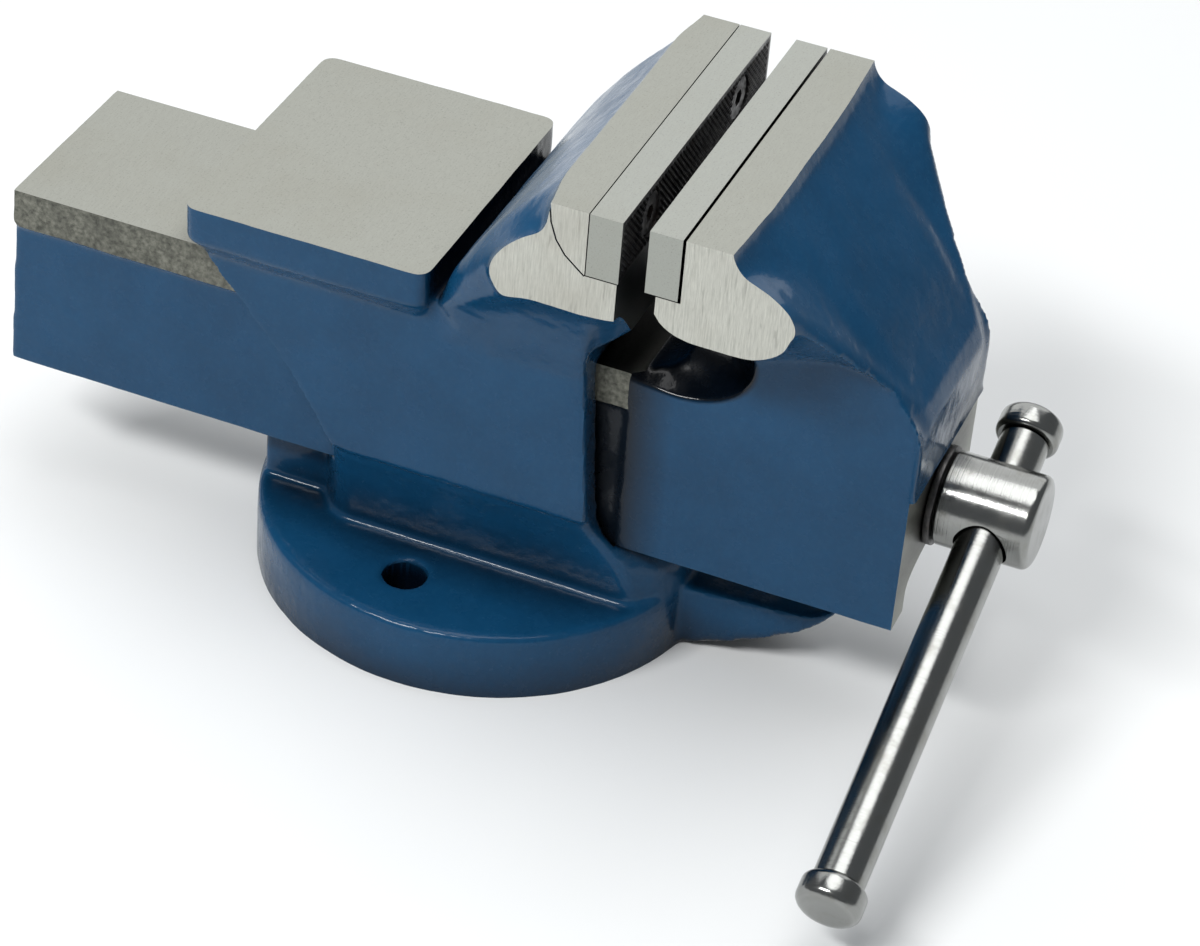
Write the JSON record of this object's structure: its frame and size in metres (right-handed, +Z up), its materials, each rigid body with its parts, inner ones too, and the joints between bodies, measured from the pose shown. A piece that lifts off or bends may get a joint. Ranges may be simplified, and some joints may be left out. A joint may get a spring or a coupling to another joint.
{
  "type": "bench vise",
  "caption": "Engineer's bench vise with a round fixed base, anvil, box slide, replaceable steel jaw plates and a screw turned by a sliding bar handle.",
  "frame": {"origin": "centre of the round base on its underside, where the vise stands on the bench", "axes": "+X along the slide towards the handle, +Y across the jaws to the left end seen from behind the anvil, +Z up"},
  "size_m": [0.2789, 0.1792, 0.1496],
  "materials": {
    "blue_enamel": "glossy blue enamel on cast iron, with its guide faces, anvil and jaw ends machined bare",
    "ground_steel": "surface ground",
    "turned_steel": "turned, bright",
    "dark_steel": "blackened",
    "nut_iron": "machined cast iron"
  },
  "bodies": {
    "body": {"body_casting": "blue_enamel", "fixed_jaw_plate": "ground_steel", "fixed_plate_screw_left": "dark_steel", "fixed_plate_screw_right": "dark_steel", "spindle_nut": "nut_iron", "nut_bolt_front": "dark_steel", "nut_bolt_rear": "dark_steel", "nut_bolt_washer_front": "dark_steel", "nut_bolt_washer_rear": "dark_steel"},
    "moving_jaw": {"moving_jaw_casting": "blue_enamel", "moving_jaw_plate": "ground_steel", "moving_plate_screw_left": "dark_steel", "moving_plate_screw_right": "dark_steel"},
    "spindle": {"spindle": "turned_steel", "thrust_washer": "dark_steel", "spring_washer": "dark_steel", "thrust_spring": "dark_steel", "retaining_collar": "dark_steel", "collar_pin": "dark_steel"},
    "handle": {"handle_bar": "turned_steel", "handle_cap_upper": "turned_steel", "handle_cap_lower": "turned_steel"}
  },
  "joints": [
    {"name": "jaw_slide", "type": "slide", "parent": "body", "child": "moving_jaw", "axis": [1, 0, 0], "range_m": [-0.0065, 0.093]},
    {"name": "spindle_spin", "type": "hinge", "parent": "moving_jaw", "child": "spindle", "pos_m": [0.121, 0, 0.062], "axis": [1, 0, 0], "range_deg": [-580, 8360]},
    {"name": "handle_slide", "type": "slide", "parent": "spindle", "child": "handle", "axis": [0, -0.9397, -0.342], "range_m": [-0.1015, 0.0101]}
  ],
  "couplings": [
    {"joint": "jaw_slide", "follows": "spindle_spin", "m_per_rad": 0.00063662}
  ]
}
